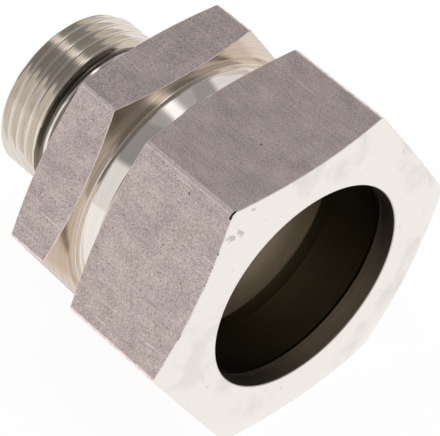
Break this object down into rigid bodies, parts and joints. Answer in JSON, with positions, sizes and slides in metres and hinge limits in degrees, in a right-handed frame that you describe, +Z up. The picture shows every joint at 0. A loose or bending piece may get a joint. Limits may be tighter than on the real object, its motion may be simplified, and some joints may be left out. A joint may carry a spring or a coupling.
{
  "type": "male stud coupling",
  "caption": "Straight steel compression fitting that joins a tube to a threaded port: a stud body, a cutting ring and a union nut that winds along the body.",
  "frame": {"origin": "on the axis, at the shoulder in the body where the tube stops", "axes": "+X along the axis from the stud towards the mouth of the nut, +Z up out of a flat of the nut, +Y across; the coupling lies on the opposite flat of the nut"},
  "size_m": [0.0645, 0.0692, 0.06],
  "materials": {
    "body_steel": "turned and drawn stainless steel, satin",
    "ring_steel": "dark hardened steel, lightly oiled",
    "nut_steel": "drawn hexagon bar with a bright faced end"
  },
  "bodies": {
    "stud_body": {"stud_body": "body_steel"},
    "cutting_ring": {"cutting_ring": "ring_steel"},
    "union_nut": {"union_nut": "nut_steel"}
  },
  "joints": [
    {"name": "ring_travel", "type": "slide", "parent": "stud_body", "child": "cutting_ring", "axis": [1, 0, 0], "range_m": [0, 0.0111]},
    {"name": "nut_turn", "type": "hinge", "parent": "cutting_ring", "child": "union_nut", "pos_m": [0.01225, 0, 0], "axis": [1, 0, 0], "range_deg": [0, 1980]}
  ],
  "couplings": [
    {"joint": "ring_travel", "follows": "nut_turn", "m_per_rad": 0.00031831}
  ]
}
